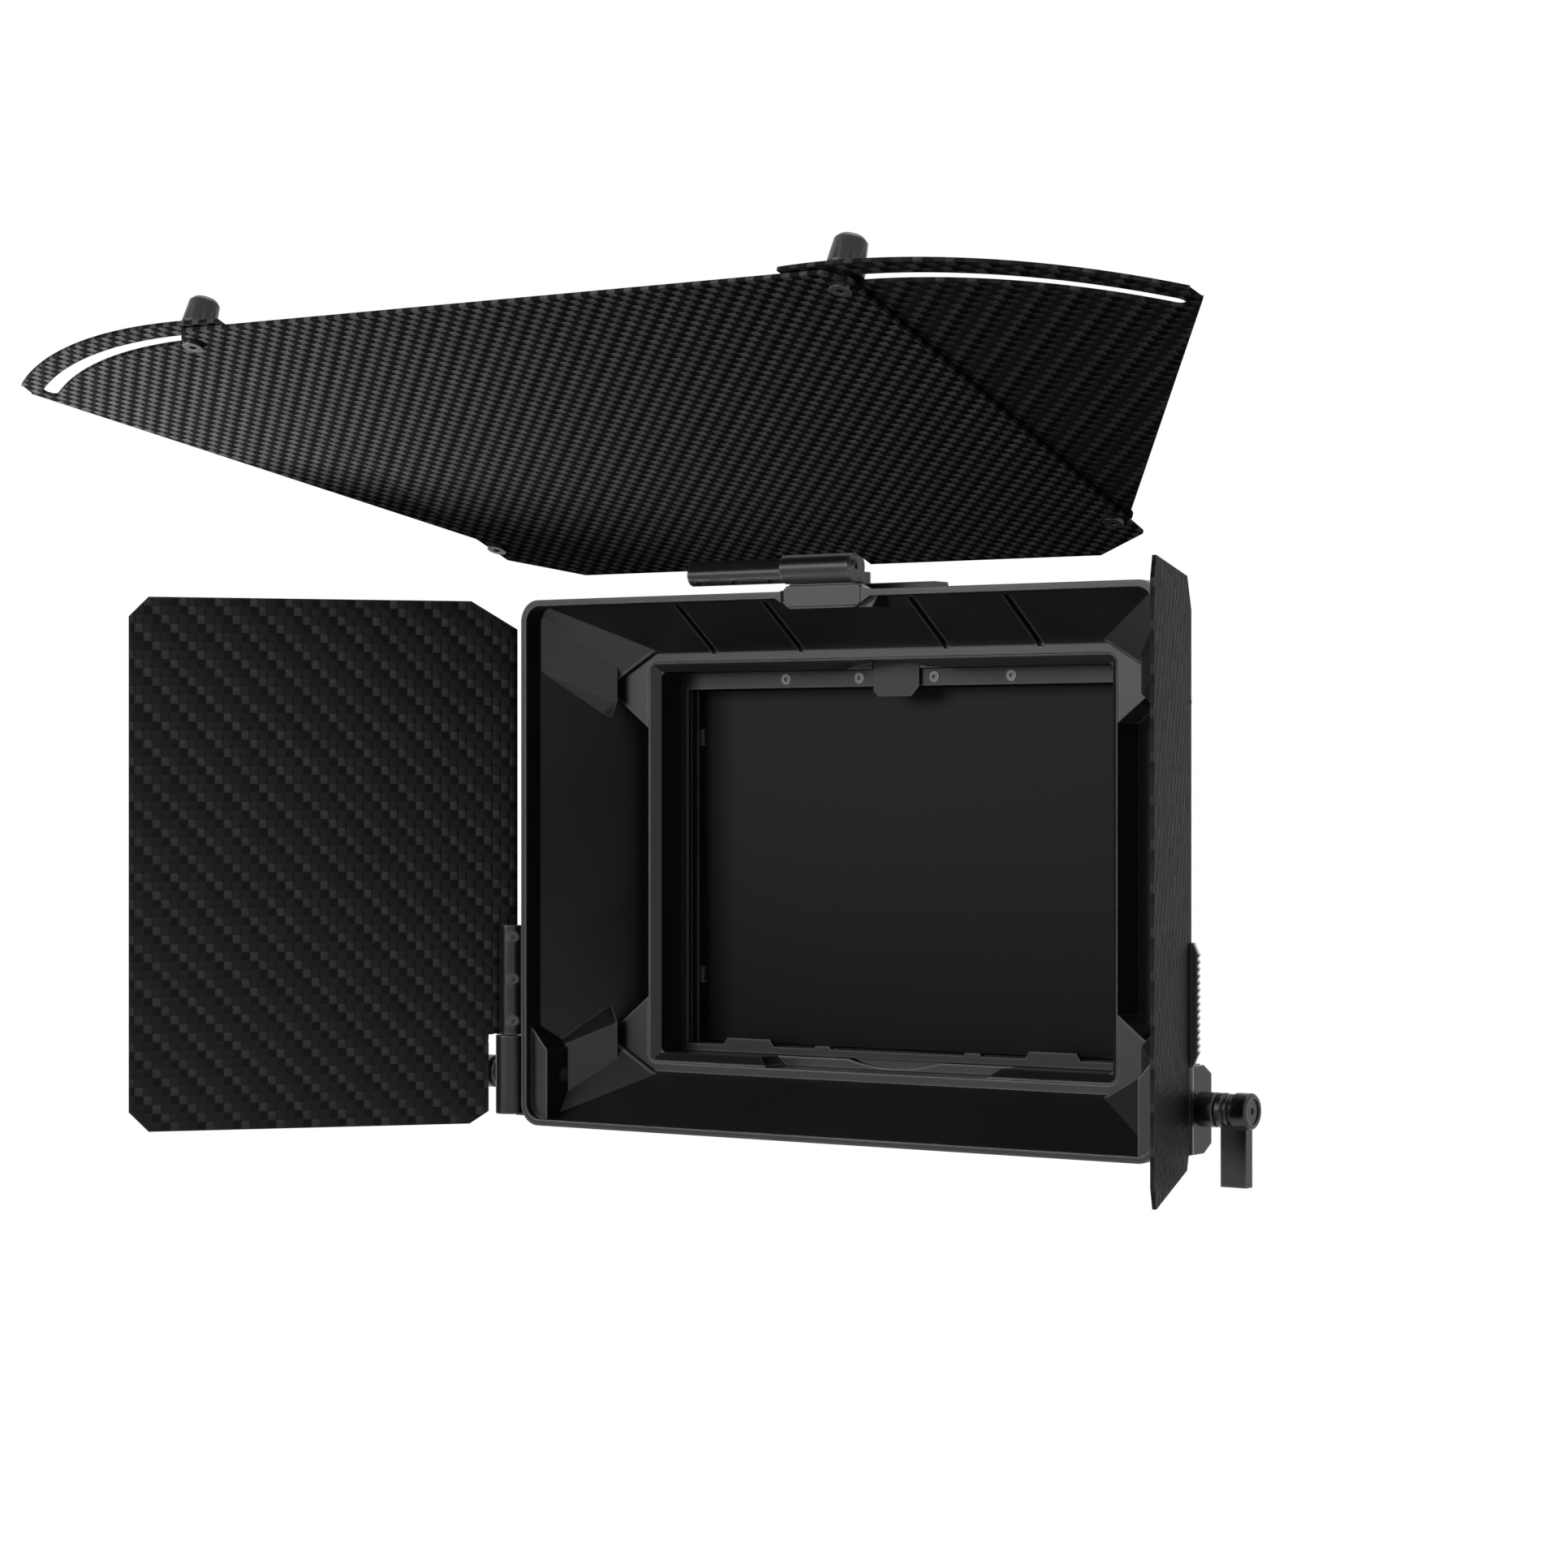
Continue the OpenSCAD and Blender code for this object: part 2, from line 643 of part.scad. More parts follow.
// Hinge frame: x along the pin, y away from the hood, z forward.
module on_right() {
  translate([hinge_x, hinge_s - total_depth, side_a0]) rotate([0, 90, 0]) rotate([90, 0, 0])
    children();
}

module on_left() {
  mirror([1, 0, 0]) on_right() children();
}

module on_top() {
  translate([top_a0, hinge_s - total_depth, hinge_z]) rotate([90, 0, 0]) children();
}

// Flag frame: x along the pin, y to the flag's outer side, z towards its free edge.
module flag_right() {
  on_right() rotate([90 - right_open, 0, 0]) children();
}

module flag_left() {
  on_left() rotate([90 - left_open, 0, 0]) children();
}

module flag_top() {
  on_top() rotate([-top_rise, 0, 0]) children();
}

module along(a, len, r) {
  translate([a, 0, 0]) rotate([0, 90, 0]) cylinder(r = r, h = len);
}

module bracket(off, cut = 0) {
  color([0.06, 0.06, 0.065]) difference() {
    union() {
      along(fixed_a, fixed_len, fixed_d / 2);
      translate([foot_a, -off, -foot_f - foot_deep]) cube([foot_len - cut, pad_t, foot_deep]);
      translate([0, -off + pad_t - 0.2, 0]) rotate([-90, 0, 0]) linear_extrude(foot_t + 0.2)
        polygon([[foot_a, foot_f], [foot_a + foot_len - cut, foot_f],
          [foot_a + foot_len - cut, foot_f + foot_deep - 4],
          [foot_a + foot_len - cut - 2.4, foot_f + foot_deep], [foot_a + 2.4, foot_f + foot_deep],
          [foot_a, foot_f + foot_deep - 4]]);
      translate([fixed_a, -off + pad_t, -foot_f - 1]) cube([fixed_len, off - pad_t + 0.4, foot_f]);
    }
    translate([fixed_a - 1, -off - 2, -foot_f]) cube([fixed_len + 2, off - 2.2, 12]);
    along(fixed_a - 1, fixed_len + 4, pin_d / 2 + fit);
    along(fixed_a + fixed_len - 0.8, 4, 3.2);
    translate([lever_a, -off - 1, -lever_f]) rotate([-90, 0, 0])
      cylinder(r = stud_d / 2 + fit, h = foot_top + 2);
  }
}

module hinge_pin() {
  color([0.2, 0.2, 0.21]) difference() {
    union() {
      along(knuckle_len - pin_in, fixed_a - knuckle_len + pin_in + fixed_len - 0.8, pin_d / 2);
      along(fixed_a + fixed_len - 0.8, 0.8, 3.1);
    }
    along(fixed_a + fixed_len - 0.5, 2, 0.8);
  }
}

module barrel_shape() {
  flat = knuckle_d / 2 - barrel_half;
  for (w = [-flat, flat]) {
    translate([0, w]) circle(r = barrel_half);
  }
  square([2 * barrel_half, 2 * flat], center = true);
}

module knuckle(w) {
  color([0.06, 0.06, 0.065]) difference() {
    rotate([90, 0, 90]) linear_extrude(knuckle_len) rotate([0, 0, 90]) barrel_shape();
    translate([-1, w, -10]) cube([knuckle_len + 2, 10, 20]);
    along(knuckle_len - pin_in - 0.2, pin_in + 2, pin_d / 2 + fit);
    for (k = [0:2]) {
      translate([knuckle_len - screw_end - screw_pitch * k, -10, screw_v]) rotate([-90, 0, 0])
        cylinder(r = screw_r + fit, h = 20);
      translate([knuckle_len - screw_end - screw_pitch * k, -10, screw_v]) rotate([-90, 0, 0])
        cylinder(r = head_r + fit, h = 10 - head_w);
    }
  }
}

module knuckle_screws(w) {
  color([0.1, 0.1, 0.105]) for (k = [0:2]) {
    translate([knuckle_len - screw_end - screw_pitch * k, -head_w, screw_v]) rotate([90, 0, 0])
      cap_screw(screw_r, w + plate_t + strip_t - 0.6 + head_w, head_r, 1);
  }
}

module clamp_strip(w) {
  color([0.06, 0.06, 0.065]) translate([0, w + plate_t, 0]) difference() {
    union() {
      translate([0, 0, screw_v - 2.1]) linear_extrude(5.6)
        polygon([[0, 0], [knuckle_len, 0], [knuckle_len, 1], [knuckle_len - 2.5, strip_t],
          [2.5, strip_t], [0, 1]]);
      for (k = [0:14]) {
        translate([3.2 + (knuckle_len - 6.4) / 14 * k, strip_t - 0.1, screw_v - 1.8])
          cylinder(r = 0.5, h = 5);
      }
    }
    for (k = [0:2]) {
      translate([knuckle_len - screw_end - screw_pitch * k, -1, screw_v]) rotate([-90, 0, 0])
        cylinder(r = screw_r + fit, h = strip_t + 0.6);
    }
  }
}

module lever_hub(off, boss) {
  color([0.055, 0.055, 0.06]) translate([lever_a, foot_top - off, -lever_f]) rotate([-90, 0, 0])
    union() {
      translate([0, 0, 0.6 - foot_top - boss + 0.3]) cylinder(r = stud_d / 2, h = foot_top + boss);
      rotate_extrude() polygon([[0, seat], [3.4, seat], [3.2, 0.9], [hub_d / 2 - 0.5, 0.9],
        [hub_d / 2, 1.4], [hub_d / 2, 6.3], [hub_d / 2 - 0.4, 6.7], [2.6, 6.7], [2.6, 12.6],
        [0, 12.6]]);
    }
}

module lever(off, turn = 0) {
  color([0.055, 0.055, 0.06]) translate([lever_a, foot_top - off, -lever_f]) rotate([0, turn, 0])
    difference() {
      union() {
        rotate([-90, 0, 0]) rotate_extrude() polygon([[2.2, 7], [4.1, 7], [4.5, 7.4], [4.5, 8.8],
          [3.9, 9.2], [4.3, 9.7], [4.3, 10.4], [3.6, 10.9], [3.6, 11.5], [4.7, 12], [4.7, 16],
          [4.2, 16.5], [2.2, 16.5]]);
        translate([0, 7.9, -arm_t / 2]) cube([arm_len, 7.4, arm_t]);
      }
      rotate([-90, 0, 0]) cylinder(r = 2.6 + fit, h = 12.7);
      rotate([-90, 0, 0]) cylinder(r = 1.5, h = 20);
      translate([0, 15.3, 0]) rotate([-90, 0, 0]) cylinder(r = 3.3, h = 3);
    }
}

module lever_screw(off, turn = 0) {
  color([0.12, 0.12, 0.125]) translate([lever_a, foot_top - off, -lever_f])
    rotate([0, turn, 0]) rotate([-90, 0, 0]) difference() {
      union() {
        translate([0, 0, 12.8]) cylinder(r = 1.4, h = 3);
        translate([0, 0, 15.3]) cylinder(r = 3.2, h = 0.8);
      }
      translate([0, 0, 15.7]) cylinder(r = 1.1, h = 2, $fn = 6);
    }
}

module side_plate() {
  near = -2.6;
  top_a = side_a0 - hood_z;
  low_a = side_a0 + hood_z;
  color([0.045, 0.045, 0.05]) translate([0, plate_w + plate_t, 0]) rotate([90, 0, 0])
    linear_extrude(plate_t) difference() {
      polygon([[top_a, 11], [top_a + 8, near], [knuckle_len + 0.2, near], [knuckle_len + 0.2, 5.9],
        [low_a - 3.5, 5.9], [low_a, 11.5], [low_a, side_len - corner_cut],
        [low_a - corner_cut, side_len], [top_a + corner_cut, side_len],
        [top_a, side_len - corner_cut]]);
      translate([knuckle_len + 2, 4]) circle(r = 2);
      for (k = [0:2]) {
        translate([knuckle_len - screw_end - screw_pitch * k, screw_v]) circle(r = screw_r + fit);
      }
    }
}

module top_panel_shape() {
  difference() {
    polygon([[-top_half, 9.2], [19.1 - top_half, rear_v], [notch_u0, rear_v],
      [notch_u0, notch_v], [notch_u1, notch_v], [notch_u1, rear_v], [top_half - 19.1, rear_v],
      [top_half, 9.2], [top_half, top_len - corner_cut],
      [top_half - 4.6, top_len], [4.6 - top_half, top_len], [-top_half, top_len - corner_cut]]);
    for (k = [0:2]) {
      translate([top_a0 + knuckle_len - screw_end - screw_pitch * k, screw_v])
        circle(r = screw_r + fit);
    }
    for (x = [-1, 1]) {
      translate([x * pivot_x, pivot_v]) circle(r = wing_screw_r + fit);
      translate([x * pivot_x, pivot_v + slot_r]) circle(r = wing_screw_r + fit);
    }
  }
}

// Top flag frame with u along X from the middle, v forward, w up from the panel.
module top_flat(w) {
  flag_top() translate([-top_a0, w, 0]) rotate([90, 0, 0]) mirror([0, 0, 1]) children();
}

module top_flag_panel() {
  color([0.045, 0.045, 0.05]) top_flat(top_w) linear_extrude(plate_t) top_panel_shape();
}

module wing_shape() {
  outer_r = slot_r + wing_rim + slot_w / 2;
  e = wing_swing + 0.7;
  difference() {
    union() {
      intersection() {
        circle(r = outer_r, $fn = 256);
        polygon([[-3, 0], [-4.5, 5], [-outer_r * 1.1 * sin(5.5), outer_r * 1.1 * cos(5.5)],
          [outer_r * 1.1 * sin(e) + 3.6 * cos(e), outer_r * 1.1 * cos(e) - 3.6 * sin(e)],
          [3.6 * cos(e), -3.6 * sin(e)]]);
      }
      circle(r = 4.5);
    }
    circle(r = wing_screw_r + fit);
    intersection() {
      difference() {
        circle(r = slot_r + slot_w / 2, $fn = 256);
        circle(r = slot_r - slot_w / 2, $fn = 256);
      }
      polygon([[0, 0], [0, slot_r * 1.2], [slot_r * 1.2 * sin(wing_swing), slot_r * 1.2 * cos(wing_swing)]]);
    }
    translate([0, slot_r]) circle(r = slot_w / 2);
    translate([slot_r * sin(wing_swing), slot_r * cos(wing_swing)]) circle(r = slot_w / 2);
    translate([outer_r * sin(e) + 3.6 * cos(e), outer_r * cos(e) - 3.6 * sin(e)])
      rotate([0, 0, 45 - e]) square([6, 5], center = true);
  }
}

module top_wing(side) {
  color([0.045, 0.045, 0.05]) top_flat(wing_w0) mirror([side, 0, 0]) translate([pivot_x, pivot_v, 0])
    linear_extrude(plate_t) wing_shape();
}

module wing_washers() {
  color([0.2, 0.2, 0.2]) top_flat(top_w + plate_t) linear_extrude(washer_t)
    for (x = [-1, 1]) {
      for (v = [pivot_v, pivot_v + slot_r]) {
        translate([x * pivot_x, v]) difference() {
          circle(r = 3);
          circle(r = wing_screw_r + fit);
        }
      }
    }
}

module wing_pivot_screws() {
  color([0.12, 0.12, 0.125]) top_flat(top_w) for (x = [-1, 1]) {
    translate([x * pivot_x, pivot_v, 0]) difference() {
      union() {
        cylinder(r = wing_screw_r, h = knob_w0 - top_w + 2.6);
        translate([0, 0, -1.2]) cylinder(r = 2.7, h = 1.2);
      }
      translate([0, 0, -2]) cylinder(r = 1.15, h = 1.5, $fn = 6);
    }
  }
}

module wing_pivot_nuts() {
  color([0.15, 0.15, 0.155]) top_flat(knob_w0) for (x = [-1, 1]) {
    translate([x * pivot_x, pivot_v, 0]) difference() {
      cylinder(r = 3.1, h = 2.2, $fn = 6);
      translate([0, 0, -1]) cylinder(r = wing_screw_r + fit, h = 4);
    }
  }
}

module wing_studs() {
  color([0.12, 0.12, 0.125]) top_flat(top_w) for (x = [-1, 1]) {
    translate([x * pivot_x, pivot_v + slot_r, 0]) difference() {
      union() {
        cylinder(r = wing_screw_r, h = knob_w0 - top_w + knob_h - 2.2);
        translate([0, 0, -1.3]) cylinder(r = 2.75, h = 1.3);
      }
      translate([0, 0, -2]) cylinder(r = 1.15, h = 1.4, $fn = 6);
    }
  }
}

module thumb_knob(side) {
  r = knob_d / 2;
  color([0.055, 0.055, 0.06]) top_flat(knob_w0) mirror([side, 0, 0])
    translate([pivot_x, pivot_v + slot_r, 0]) difference() {
      rotate_extrude() polygon([[0, 0], [r, 0], [r, 1.4], [r - 0.5, 1.8], [r - 0.2, 2.2],
        [r - 0.8, knob_h - 1.2], [r - 1.6, knob_h - 0.3], [0, knob_h]]);
      translate([0, 0, -1]) cylinder(r = wing_screw_r + fit, h = knob_h - 1);
      for (k = [0:7]) {
        rotate([0, 0, 45 * k]) translate([r + 0.3, 0, 2.4]) cylinder(r = 1, h = knob_h);
      }
    }
}

module bracket_top() { on_top() bracket(top_standoff, top_foot_cut); }
module bracket_left() { on_left() bracket(side_standoff); }
module bracket_right() { on_right() bracket(side_standoff); }
module hinge_pin_top() { on_top() hinge_pin(); }
module hinge_pin_left() { on_left() hinge_pin(); }
module hinge_pin_right() { on_right() hinge_pin(); }
module knuckle_top() { flag_top() knuckle(top_w); }
module knuckle_left() { flag_left() knuckle(plate_w); }
module knuckle_right() { flag_right() knuckle(plate_w); }
module clamp_strip_top() { flag_top() clamp_strip(top_w); }
module clamp_strip_left() { flag_left() clamp_strip(plate_w); }
module clamp_strip_right() { flag_right() clamp_strip(plate_w); }
module knuckle_screws_top() { flag_top() knuckle_screws(top_w); }
module knuckle_screws_left() { flag_left() knuckle_screws(plate_w); }
module knuckle_screws_right() { flag_right() knuckle_screws(plate_w); }
module lever_hub_top() { on_top() lever_hub(top_standoff, top_boss); }
module lever_hub_left() { on_left() lever_hub(side_standoff, side_boss); }
module lever_hub_right() { on_right() lever_hub(side_standoff, side_boss); }
module lever_top() { on_top() lever(top_standoff); }
module lever_left() { on_left() lever(side_standoff, left_lever_turn); }
module lever_right() { on_right() lever(side_standoff); }
module lever_screw_top() { on_top() lever_screw(top_standoff); }
module lever_screw_left() { on_left() lever_screw(side_standoff, left_lever_turn); }
module lever_screw_right() { on_right() lever_screw(side_standoff); }
module side_flag_left() { flag_left() side_plate(); }
module side_flag_right() { flag_right() side_plate(); }
module top_wing_left() { top_wing(1); }
module top_wing_right() { top_wing(0); }
module thumb_knob_left() { thumb_knob(1); }
module thumb_knob_right() { thumb_knob(0); }

hood_shell();
emblem_plate();
throat_frame();
retainer_frame();
retainer_screws();
filter_tab();
filter_stage();
stage_screws();
rear_plate();
rear_plate_screws();
top_pad();
bracket_top();
bracket_left();
bracket_right();
hinge_pin_top();
hinge_pin_left();
hinge_pin_right();
knuckle_top();
knuckle_left();
knuckle_right();
clamp_strip_top();
clamp_strip_left();
clamp_strip_right();
knuckle_screws_top();
knuckle_screws_left();
knuckle_screws_right();
lever_hub_top();
lever_hub_left();
lever_hub_right();
lever_top();
lever_left();
lever_right();
lever_screw_top();
lever_screw_left();
lever_screw_right();
side_flag_left();
side_flag_right();
top_flag_panel();
top_wing_left();
top_wing_right();
wing_washers();
wing_pivot_screws();
wing_pivot_nuts();
wing_studs();
thumb_knob_left();
thumb_knob_right();
front_tray();
rear_tray();
front_filter();
rear_filter();
clamp_screw();
clamp_knob();
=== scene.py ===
import bpy
import bmesh
import math
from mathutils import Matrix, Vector

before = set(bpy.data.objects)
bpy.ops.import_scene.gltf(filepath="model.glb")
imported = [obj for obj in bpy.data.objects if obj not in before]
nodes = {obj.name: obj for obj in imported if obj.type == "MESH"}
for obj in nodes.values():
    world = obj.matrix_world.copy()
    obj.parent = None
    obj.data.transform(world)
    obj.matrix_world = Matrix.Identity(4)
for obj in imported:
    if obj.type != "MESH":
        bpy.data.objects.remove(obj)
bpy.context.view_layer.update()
print("frame loaded:", len(nodes), "nodes")


# Builds a node tree: a socket takes either a link from another socket or a plain value.
class Nodes:
    def __init__(self, tree):
        self.tree = tree
        self.count = 0
        self.grid = {"across": 180, "down": 160, "rows": 3}

    def feed(self, socket, value):
        if hasattr(value, "is_output"):
            self.tree.links.new(value, socket)
        else:
            socket.default_value = value

    def add(self, kind, inputs=None, **settings):
        node = self.tree.nodes.new(kind)
        self.count += 1
        row = self.count % self.grid["rows"]
        node.location = (self.count * self.grid["across"], -row * self.grid["down"])
        for label, value in settings.items():
            setattr(node, label, value)
        for label, value in (inputs or {}).items():
            self.feed(node.inputs[label], value)
        return node

    def math(self, operation, *values, clamp=False):
        inputs = dict(enumerate(values))
        return self.add("ShaderNodeMath", inputs, operation=operation, use_clamp=clamp).outputs[0]

    def mixNumber(self, share, low, high):
        return self.add("ShaderNodeMix", {0: share, 2: low, 3: high}, data_type="FLOAT").outputs[0]

    def mixColour(self, share, low, high):
        return self.add("ShaderNodeMix", {0: share, 6: low, 7: high}, data_type="RGBA").outputs[2]


def grey(shade):
    return (shade, shade, shade, 1)


def newGroup(name, inputs, outputs):
    group = bpy.data.node_groups.new(name, "ShaderNodeTree")
    for label, kind, value in inputs:
        socket = group.interface.new_socket(name=label, in_out="INPUT", socket_type=kind)
        if value is not None:
            socket.default_value = value
    for label in outputs:
        group.interface.new_socket(name=label, in_out="OUTPUT", socket_type="NodeSocketFloat")
    net = Nodes(group)
    return group, net, net.add("NodeGroupInput"), net.add("NodeGroupOutput")


# A cell is one tow wide. A higher crown gives flatter tows, a higher corner squarer cells. Fade
# sets how much the painted highlights dim across their cells.
twillShape = {"cellsPerRepeat": 4, "crown": 3, "lowest": 0.3, "corner": 8, "fade": 0.4}


def makeTwill(shape):
    # Woven 2 by 2 twill: each float covers two cells, and every row moves on by one cell.
    group, net, source, sink = newGroup("twillWeave", [
        ("Vector", "NodeSocketVector", None), ("Tow", "NodeSocketFloat", 2.5),
        ("Face", "NodeSocketFloat", 0.0), ("Tip", "NodeSocketFloat", 0.0),
        ("Lean", "NodeSocketFloat", 1.0)],
        ["Warp", "Height", "Gap", "Glint", "Shade", "DashHighlight", "Cell"])
    flat = source.outputs["Vector"]
    for axis, label in (("Z_AXIS", "Face"), ("X_AXIS", "Tip")):
        flat = net.add("ShaderNodeVectorRotate", {"Vector": flat, "Angle": source.outputs[label]},
                       rotation_type=axis).outputs[0]
    part = net.add("ShaderNodeSeparateXYZ", {"Vector": flat})
    cells = net.math("DIVIDE", 1000, source.outputs["Tow"])  # tow in mm, cells per metre
    u = net.math("MULTIPLY", net.math("MULTIPLY", part.outputs[0], source.outputs["Lean"]), cells)
    v = net.math("MULTIPLY", part.outputs[1], cells)
    column = net.math("FLOOR", u)
    row = net.math("FLOOR", v)
    inColumn = net.math("SUBTRACT", u, column)
    inRow = net.math("SUBTRACT", v, row)
    step = net.math("FLOORED_MODULO", net.math("ADD", column, row), shape["cellsPerRepeat"])

    warp = net.math("LESS_THAN", step, 1.5)  # steps 0 and 1 show the warp, 2 and 3 the weft
    sideU = net.math("ABSOLUTE", net.math("MULTIPLY_ADD", inColumn, 2, -1))
    sideV = net.math("ABSOLUTE", net.math("MULTIPLY_ADD", inRow, 2, -1))
    across = net.math("POWER", net.mixNumber(warp, sideV, sideU), shape["crown"])
    across = net.math("SUBTRACT", 1, across)
    alongWarp = net.math("MULTIPLY", net.math("ADD", step, inRow), 0.5)
    alongWeft = net.math("MULTIPLY", net.math("ADD", net.math("SUBTRACT", step, 2), inColumn), 0.5)
    along = net.mixNumber(warp, alongWeft, alongWarp)
    hump = net.math("MAXIMUM", net.math("SINE", net.math("MULTIPLY", along, math.pi)), 0)
    hump = net.math("MULTIPLY_ADD", hump, 1 - shape["lowest"], shape["lowest"])

    # The first cell of each float gets a painted highlight and the last one of the weft painted
    # shade, as light and shade on the tows' relief.
    square = net.math("POWER", net.math("MAXIMUM", sideU, sideV), shape["corner"])
    square = net.math("SUBTRACT", 1, square)
    first = net.math("MULTIPLY", net.math("LESS_THAN", step, 0.5), square)
    third = net.math("MULTIPLY", net.math("COMPARE", step, 2, 0.5), square)
    last = net.math("MULTIPLY", net.math("GREATER_THAN", step, 2.5), square)
    # The painted highlights dim towards one side of their cells.
    glintFade = net.math("MULTIPLY_ADD", inRow, shape["fade"], 1 - shape["fade"])
    dashFade = net.math("MULTIPLY_ADD", inColumn, -shape["fade"], 1)
    place = net.add("ShaderNodeCombineXYZ", {"X": column, "Y": row, "Z": 0.0}).outputs[0]
    cell = net.add("ShaderNodeTexWhiteNoise", {"Vector": place}, noise_dimensions="3D")
    results = {"Warp": warp, "Height": net.math("MULTIPLY", across, hump),
               "Gap": net.math("SUBTRACT", 1, across),
               "Glint": net.math("MULTIPLY", first, glintFade), "Shade": last,
               "DashHighlight": net.math("MULTIPLY", third, dashFade),
               "Cell": cell.outputs["Value"]}
    for label, value in results.items():
        net.feed(sink.inputs[label], value)
    return group


# Scales are per metre, the edge's reach is in metres.
wearAndSheenShape = {"mottleScale": 45.0, "mottleDetail": 4.0, "mottleRoughness": 0.6,
             "grainDetail": 2.0, "patchScale": 160.0, "patchDetail": 3.0, "patchFloor": 0.3,
             "edgeReach": 0.0007, "edgeGain": 2.6, "edgeStart": 2.5, "edgeRays": 8}


def makeWearAndSheen(shape):
    # Soft mottling, fine grain, and outer edges painted lighter: a painted edge highlight, made
    # patchy like rubbed wear.
    group, net, source, sink = newGroup("finishWearAndSheen", [
        ("Vector", "NodeSocketVector", None), ("Grain", "NodeSocketFloat", 3000.0),
        ("WearAndSheen", "NodeSocketFloat", 0.5)], ["Mottle", "Grain", "EdgeWearAndSheen"])
    spot = source.outputs["Vector"]
    mottle = net.add("ShaderNodeTexNoise", {"Vector": spot, "Scale": shape["mottleScale"],
                                            "Detail": shape["mottleDetail"],
                                            "Roughness": shape["mottleRoughness"]})
    grain = net.add("ShaderNodeTexNoise", {"Vector": spot, "Scale": source.outputs["Grain"],
                                           "Detail": shape["grainDetail"]})
    patches = net.add("ShaderNodeTexNoise", {"Vector": spot, "Scale": shape["patchScale"],
                                             "Detail": shape["patchDetail"]})
    # Rays cast into the piece meet another face only close to an outer edge.
    inside = net.add("ShaderNodeAmbientOcclusion", {"Distance": shape["edgeReach"]},
                     samples=shape["edgeRays"], inside=True)
    edge = net.math("MULTIPLY_ADD", inside.outputs["AO"], -shape["edgeGain"], shape["edgeStart"],
                    clamp=True)
    rubbed = net.math("ADD", patches.outputs[0], shape["patchFloor"], clamp=True)
    # The edge mark is a painted highlight along outer edges, broken into patches like rubbed wear.
    litWornEdge = net.math("MULTIPLY", net.math("MULTIPLY", edge, source.outputs["WearAndSheen"]), rubbed)
    results = {"Mottle": mottle.outputs[0], "Grain": grain.outputs[0], "EdgeWearAndSheen": litWornEdge}
    for label, value in results.items():
        net.feed(sink.inputs[label], value)
    return group


twillGroup = makeTwill(twillShape)
wearAndSheenGroup = makeWearAndSheen(wearAndSheenShape)


def startMaterial(name):
    material = bpy.data.materials.new(name)
    material.use_nodes = True
    material.node_tree.nodes.clear()
    net = Nodes(material.node_tree)
    shader = net.add("ShaderNodeBsdfPrincipled")
    net.add("ShaderNodeOutputMaterial", {"Surface": shader.outputs[0]})
    coords = net.add("ShaderNodeTexCoord")
    return material, net, shader, coords.outputs["Object"]


def addWearAndSheen(net, spot, look):
    inputs = {"Vector": spot, "Grain": look["grain"], "WearAndSheen": look["wearAndSheen"]}
    return net.add("ShaderNodeGroup", inputs, node_tree=wearAndSheenGroup).outputs


def satin(name, look):
    # Moulded plastic or coated metal with a fine grain.
    material, net, shader, spot = startMaterial(name)
    wearAndSheen = addWearAndSheen(net, spot, look)
    darker = grey(look["shade"] * (1 - look["mottle"]))
    lighter = grey(look["shade"] * (1 + look["mottle"]))
    base = net.mixColour(wearAndSheen["Mottle"], darker, lighter)
    # Outer edges are painted lighter: a painted highlight, patchy like rubbed wear.
    base = net.mixColour(wearAndSheen["EdgeWearAndSheen"], base, grey(look["edge"]))
    net.feed(shader.inputs["Base Color"], base)
    smoothest = look["rough"] - look["mottleRough"] / 2
    rough = net.math("MULTIPLY_ADD", wearAndSheen["Mottle"], look["mottleRough"], smoothest)
    rough = net.math("MULTIPLY_ADD", wearAndSheen["Grain"], look["grainRough"], rough)
    net.feed(shader.inputs["Roughness"], rough)
    shader.inputs["Metallic"].default_value = look["metal"]
    shader.inputs["Specular IOR Level"].default_value = look["specular"]
    soft = net.add("ShaderNodeBevel", {"Radius": look["round"]}, samples=look["roundRays"])
    bump = net.add("ShaderNodeBump", {"Height": wearAndSheen["Grain"], "Distance": look["bump"],
                                      "Strength": 1.0, "Normal": soft.outputs[0]})
    net.feed(shader.inputs["Normal"], bump.outputs[0])
    return material


